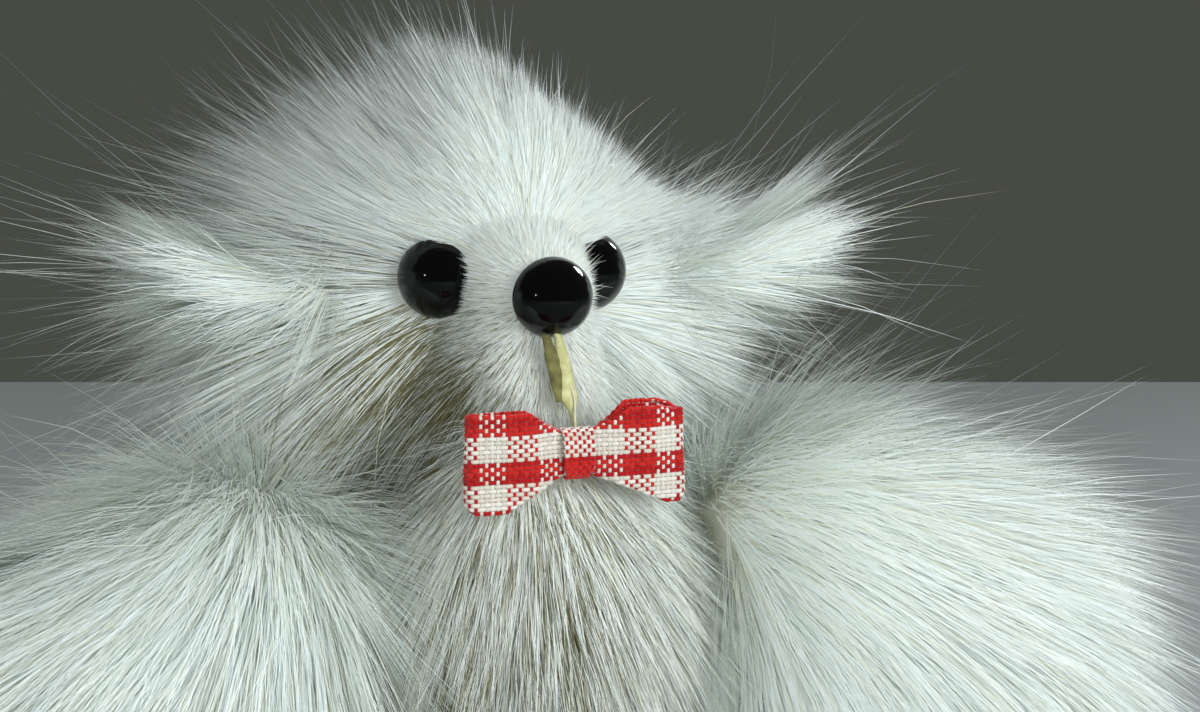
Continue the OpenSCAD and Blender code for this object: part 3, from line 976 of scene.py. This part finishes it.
# the bow: gingham ribbon folded into a flat loop, pinched by a band of the same
ribbon = {
    "lengthwise": 23,
    "crossing": 84,          # even, so that the weave closes
    "relief": 0.1,           # mm each thread rises and falls
    "threadThick": 0.22,
    "crossThick": 0.16,
    "crossWidth": 0.34,
    "halfTall": 4.75,
    "pinchTop": 2.6,
    "pinchBottom": 1.5,
    "halfLength": 11.0,
    "layerGap": 0.7,         # half the gap between front and back
    # where each colour ends, in mm down from the top and from the left end
    "bands": ((2.1, "red"), (4.4, "white"), (6.65, "red"), (8.95, "white"), (99, "red")),
    "columns": ((0.7, "red"), (3.7, "white"), (6.8, "red"), (15.4, "white"), (18.6, "red"),
                (21.2, "white"), (99, "red")),
    "knotWidth": 3.1,
    "knotThreads": 7,
    "knotCrossing": 30,
}


def slotOf(table, where, rng):
    tone = next(tone for edge, tone in table if where < edge)
    return (0 if tone == "red" else 2) + int(rng.integers(2))


def evenLoop(corners, count):
    # a closed outline stepped evenly
    closed = np.concatenate([corners, corners[:1]])
    run = np.concatenate([[0], np.cumsum(np.linalg.norm(np.diff(closed, axis=0), axis=1))])
    at = np.linspace(0, run[-1], count, endpoint=False)
    return np.stack([np.interp(at, run, closed[:, axis]) for axis in range(2)], axis=1)


def outwardOf(loop):
    along = unit(np.roll(loop, -1, axis=0) - np.roll(loop, 1, axis=0))
    return np.stack([along[:, 1], -along[:, 0]], axis=1)


def ramp(x, low, high):
    return np.clip((x - low) / (high - low), 0, 1)


def wingTop(x):
    # half heights of the folded outline, in mm, above and below the middle
    far = np.abs(x)
    left = ribbon["pinchTop"] + 2.15 * ramp(far, 1.6, 5.2)
    right = ribbon["pinchTop"] + 2.2 * ramp(far, 1.6, 5.6) - 0.55 * blend(far, 6.6, 10.4)
    return np.where(x < 0, left, right)


def wingBottom(x):
    far = np.abs(x)
    left = ribbon["pinchBottom"] + 3.25 * ramp(far, 1.6, 7.6) - 0.9 * blend(far, 9.8, 11.2)
    right = ribbon["pinchBottom"] + 3.1 * ramp(far, 1.6, 9.2) - 0.6 * blend(far, 10.2, 11.2)
    return np.where(x < 0, left, right)


def overUnder(phase):
    # the lengthwise threads float over the crossing ones for longer than they dip under
    return ribbon["relief"] * np.tanh(2.0 * np.cos(phase) + 0.35) / 0.98


def weaveBow():
    rng = np.random.default_rng(71)
    half, gap = ribbon["halfLength"] - ribbon["layerGap"], ribbon["layerGap"]
    x = np.linspace(-half, half, 400)
    front = np.stack([x, -(0.4 + 0.6 * blend(abs(x), 1.6, 5) - 0.3 * blend(abs(x), 7, half))], axis=1)
    rear = np.stack([x, 0.4 + 0.3 * blend(abs(x), 1.6, 5)], axis=1)[::-1]
    bend = np.linspace(-math.pi / 2, math.pi / 2, 30)[1:-1]
    end = np.stack([half + gap * np.cos(bend), gap * np.sin(bend)], axis=1)
    finer = 4
    loop = evenLoop(np.concatenate([front, end, rear, -end]), finer * ribbon["crossing"])
    normal = outwardOf(loop)
    isRear = loop[:, 1] > 0
    top, bottom = wingTop(loop[:, 0]), wingBottom(loop[:, 0])
    # the rear layer stands up a little behind the right wing
    behind = isRear & (loop[:, 0] > 0)
    top = top + 0.5 * behind * blend(loop[:, 0], 3, 6) * (1 - blend(loop[:, 0], 9.4, 10.6))
    pleat = 0.12 * (1 - blend(np.abs(loop[:, 0]), 1.3, 6))
    threads = ribbon["lengthwise"]

    def place(index, v, raised):
        # a point of the cloth at loop steps index and share v of its height, raised off it.
        # What is taller than the outline is folded in behind its edge
        flat = np.abs(v) * (ribbon["halfTall"] + 0.5 * behind[index])
        edge = np.where(v > 0, top[index], bottom[index])
        past = np.maximum(flat - edge, 0)
        tucked = 0.5 * (1 - np.exp(-past / 0.5)) + 0.12 * np.clip(1 + (flat - edge) / 0.45, 0, 1) ** 2
        z = np.sign(v) * np.where(past > 0, edge - 0.2 * (1 - np.exp(-past / 0.6)), flat)
        fold = pleat[index] * np.cos(5.5 * v + 0.6) + 0.10 * np.sin(0.9 * loop[index, 0] + 2.2 * v)
        lifted = loop[index] + normal[index] * (fold + raised - tucked)[..., None]
        return np.array(bow) + np.stack([lifted[..., 0], lifted[..., 1], z], axis=-1) * mm

    steps = np.arange(finer * ribbon["crossing"])
    rows = np.arange(threads)
    index, row = np.meshgrid(steps, rows)
    v = 1 - (2 * row + 1) / threads
    points = place(index, v, overUnder(math.pi * (index / finer + row)))
    outward = np.concatenate([normal, np.zeros((len(normal), 1))], axis=1)
    width = 2 * ribbon["halfTall"] / threads * 1.03
    drop = (1 - v[:, 0]) * ribbon["halfTall"]
    tones = [slotOf(ribbon["bands"], d, rng) for d in drop]
    lengthwise = threadTubes(points, outward[index], width, ribbon["threadThick"], True, tones)

    stops = np.arange(-0.5, threads, 0.5)
    column, stop = np.meshgrid(np.arange(ribbon["crossing"]), stops, indexing="ij")
    index = finer * column
    v = 1 - (2 * stop + 1) / threads
    points = place(index, v, -0.9 * ribbon["relief"] * np.cos(math.pi * (column + stop)))
    places = loop[::finer, 0] + ribbon["halfLength"]
    tones = [slotOf(ribbon["columns"], p, rng) for p in places]
    crossing = threadTubes(points, outward[index], ribbon["crossWidth"], ribbon["crossThick"], False, tones)
    return meshOfThreads("bow_loops", [lengthwise, crossing])


def weaveKnot():
    rng = np.random.default_rng(72)
    around = np.linspace(0, math.tau, 200, endpoint=False)
    depth = -1.2 * np.sign(np.cos(around)) * np.abs(np.cos(around)) ** 0.7
    height = 2.3 * np.sign(np.sin(around)) * np.abs(np.sin(around)) ** 0.75
    loop = evenLoop(np.stack([depth, height], axis=1), 2 * ribbon["knotCrossing"])
    normal = outwardOf(loop)
    if (normal * loop).sum() < 0:
        normal = -normal
    middle = np.array([middleOf("bow_band").x, bow.y, bow.z + 0.5 * mm])
    squeeze = 1 - 0.3 * blend(-loop[:, 1], 0.6, 2.3) ** 2

    def place(index, across, raised):
        lifted = loop[index] + normal[index] * raised[..., None]
        x = across * squeeze[index]
        return middle + np.stack([x, lifted[..., 0], lifted[..., 1]], axis=-1) * mm

    outward = np.concatenate([np.zeros((len(normal), 1)), normal], axis=1)
    threads = ribbon["knotThreads"]
    pitch = ribbon["knotWidth"] / threads
    index, row = np.meshgrid(np.arange(2 * ribbon["knotCrossing"]), np.arange(threads))
    across = (row - (threads - 1) / 2) * pitch
    points = place(index, across, -0.9 * ribbon["relief"] * np.cos(math.pi * (index / 2 + row)))
    tones = [int(rng.integers(2)) for _ in range(threads)]
    lengthwise = threadTubes(points, outward[index], pitch * 0.8, ribbon["crossThick"], True, tones)
    stops = np.arange(-0.5, threads - 0.4, 0.25)
    column, stop = np.meshgrid(np.arange(ribbon["knotCrossing"]), stops, indexing="ij")
    points = place(2 * column, (stop - (threads - 1) / 2) * pitch, overUnder(math.pi * (column + stop)))
    tones = [(2 if loop[2 * i, 1] > -0.1 else 0) + int(rng.integers(2))
             for i in range(ribbon["knotCrossing"])]
    crossing = threadTubes(points, outward[2 * column], 0.43, ribbon["threadThick"], False, tones)
    return meshOfThreads("bow_knot", [lengthwise, crossing])


bowLoops = addObject("bow_loops", weaveBow(), ribbonMaterials, "torso")
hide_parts("bow_ribbon")
bowKnot = addObject("bow_knot", weaveKnot(), ribbonMaterials, "torso")
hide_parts("bow_band")
print("bow is woven")


# the chin seam: the turned hide edge stands out between the hairs, with a dark strip of painted shade beside
# it
seam = {"lean": 0.95, "thick": 0.5, "above": 1.3}


def hideStrip(name, shift, wideAt, span, material, crease):
    # wideAt gives the strip's half width in mm, from 0 at the top of the seam to 1 at the bow
    work = bmesh.new()
    bmesh.ops.create_grid(work, x_segments=6, y_segments=26, size=1)
    top = seamHigh.z / mm + seam["above"]
    length = top - seamLow.z / mm
    for vert in work.verts:
        t, down = vert.co.x, span[0] + (span[1] - span[0]) * (1 - vert.co.y) / 2
        wide = wideAt(down) * (1 + 0.12 * math.sin(11 * down + shift))
        x = shift + seam["lean"] * math.sin(1.3 * down) + t * wide + 0.1 * math.sin(8 * down + shift)
        rough = 0.16 * noise.noise(Vector((t, 9 * down, shift)))
        y = seamHigh.y / mm - 0.9 - 2.3 * down + crease * abs(t) ** 1.5 + rough
        vert.co = Vector((x, y, top - down * length)) * mm
    bmesh.ops.recalc_face_normals(work, faces=work.faces)
    bmesh.ops.solidify(work, geom=list(work.faces), thickness=seam["thick"] * mm)
    smoothed(work, 0.4)
    bmesh.ops.recalc_face_normals(work, faces=work.faces)
    return addObject(name, bmeshToMesh(work, name), [material], "head")


def edgeWidth(s):
    return float(0.5 + 0.55 * blend(s, 0.05, 0.55) - 0.75 * blend(s, 0.62, 0.86))


def shadeStripWidth(s):
    return float(0.55 + 0.2 * blend(s, 0.1, 0.4) - 0.4 * blend(s, 0.5, 0.7))


seamStrip = hideStrip("chin_hide_edge", -0.1, edgeWidth, (0.0, 1.0), bareHide, 0.45)
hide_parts("chin_seam")
# the dark strip of painted shade beside the edge
hideStrip("chin_hide_fold", -1.25, shadeStripWidth, (0.0, 0.7), paintedShadeHide, 0.2)
stitchRun = np.array([[
    0.75 + 0.12 * math.sin(5 * s),
    seamHigh.y / mm - 1.9 - 1.6 * s - 0.15 * math.sin(math.pi * s),
    seamHigh.z / mm - 3.6 - 4.0 * s,
] for s in np.linspace(0, 1, 24)]) * mm
stitchOut = np.tile([0.0, -1.0, 0.0], (1, 24, 1))
stitchTube = threadTubes(stitchRun[None], stitchOut, 0.2, 0.2, False, [0], 8)
addObject("chin_stitch", meshOfThreads("chin_stitch", [stitchTube]), [paleThread], "head")
print("chin seam is folded")


# the split ring: flat spring wire wound in two turns
splitRing = {"radius": 9.2, "radial": 1.2, "axial": 0.48, "round": 0.17, "pitch": 0.5, "turns": 2,
             "steps": 96}
ringMiddle = middleOf("split_ring")
swing = next(j for j in frame["joints"] if j["name"] == "ring_swing")
swingAxis = Vector(swing["axis"]).normalized()
ringAxis = Vector((-swingAxis.y, swingAxis.x, 0)).normalized()


def windRing():
    work = bmesh.new()
    bmesh.ops.create_grid(work, x_segments=1, y_segments=1, size=0.5)
    bmesh.ops.scale(work, vec=(splitRing["radial"] * mm, splitRing["axial"] * mm, 1), verts=work.verts)
    bmesh.ops.bevel(work, geom=list(work.verts), offset=splitRing["round"] * mm, affect="VERTICES",
                    segments=4, profile=0.5, material=-1)
    bmesh.ops.delete(work, geom=list(work.faces), context="FACES_ONLY")
    start = Matrix.Translation((splitRing["radius"] * mm, 0, -splitRing["pitch"] * mm))
    bmesh.ops.transform(work, matrix=start @ Matrix.Rotation(math.pi / 2, 4, "X"), verts=work.verts)
    steps = splitRing["steps"] * splitRing["turns"]
    bmesh.ops.spin(work, geom=list(work.verts) + list(work.edges), cent=(0, 0, 0), axis=(0, 0, 1),
                   dvec=(0, 0, splitRing["pitch"] * mm / splitRing["steps"]),
                   angle=math.tau * splitRing["turns"], steps=steps, use_merge=False)
    ends = [e for e in work.edges if len(e.link_faces) == 1]
    bmesh.ops.holes_fill(work, edges=ends, sides=0)
    bmesh.ops.recalc_face_normals(work, faces=work.faces)
    place = Matrix.Translation(ringMiddle) @ ringAxis.to_track_quat("Z", "X").to_matrix().to_4x4()
    bmesh.ops.transform(work, matrix=place, verts=work.verts)
    return bmeshToMesh(work, "ring_coil")


ringCoil = addObject("ring_coil", windRing(), [nickel], "ring")
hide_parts("split_ring")


# the hanging loop: two strands laid round each other, sewn into the back of the head
hangLoop = {"radius": 3.7, "strand": 0.66, "lay": 0.3, "twists": 11, "points": 176}


def twistLoop():
    middle = np.array(middleOf("ring_cord"))
    sideways, upright = np.array(ringAxis), np.array([0.0, 0.0, 1.0])
    across = np.array(swingAxis)
    turns = np.arange(hangLoop["points"]) / hangLoop["points"] * math.tau
    outward = np.cos(turns)[:, None] * sideways + np.sin(turns)[:, None] * upright
    core = middle + outward * hangLoop["radius"] * mm
    strands, facing = [], []
    for phase in (0, math.pi):
        twist = turns * hangLoop["twists"] + phase
        off = np.cos(twist)[:, None] * outward + np.sin(twist)[:, None] * across
        strands.append(core + off * hangLoop["lay"] * mm)
        facing.append(off)
    thick = hangLoop["strand"]
    tubes = threadTubes(np.array(strands), np.array(facing), thick, thick, True, [0, 0], 8)
    return meshOfThreads("hanging_loop", [tubes])


cordLoop = addObject("hanging_loop", twistLoop(), [blackCotton], "head")
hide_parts("ring_cord")
print("ring and loop are made")

# the hidden washers and threads keep their shape and take their real finish
hidden = {"eye_left_washer": washerPlastic, "eye_right_washer": washerPlastic, "nose_washer": washerPlastic,
          "neck_thread": paleThread, "bow_thread": redSewing}
for node, material in hidden.items():
    frame["nodes"][node].data.materials.clear()
    frame["nodes"][node].data.materials.append(material)

for skin, nodes in ((headSkin, ["head_pelt"]), (torsoSkin, ["torso_pelt"]), (tailSkin, ["tail_pelt"])):
    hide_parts(*nodes)
for side, name in sides:
    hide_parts(f"foreleg_{name}_pelt")
    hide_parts(f"hindleg_{name}_pelt")
    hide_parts(f"ear_{name}")

# each piece's finish word is looked up in its name; the match is not kept
finishes = {"fur": "fur", "hide": "hide", "skin": "hide", "wadding": "filling", "dome": "black_plastic",
            "bow": "gingham", "ring_coil": "ring_plating", "hanging_loop": "cord",
            "chin_stitch": "sewing_thread"}
for piece in list(bpy.data.objects):
    if piece.type == "MESH" and "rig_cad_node" not in piece:
        for word, slot in finishes.items():
            if word in piece.name:
                break
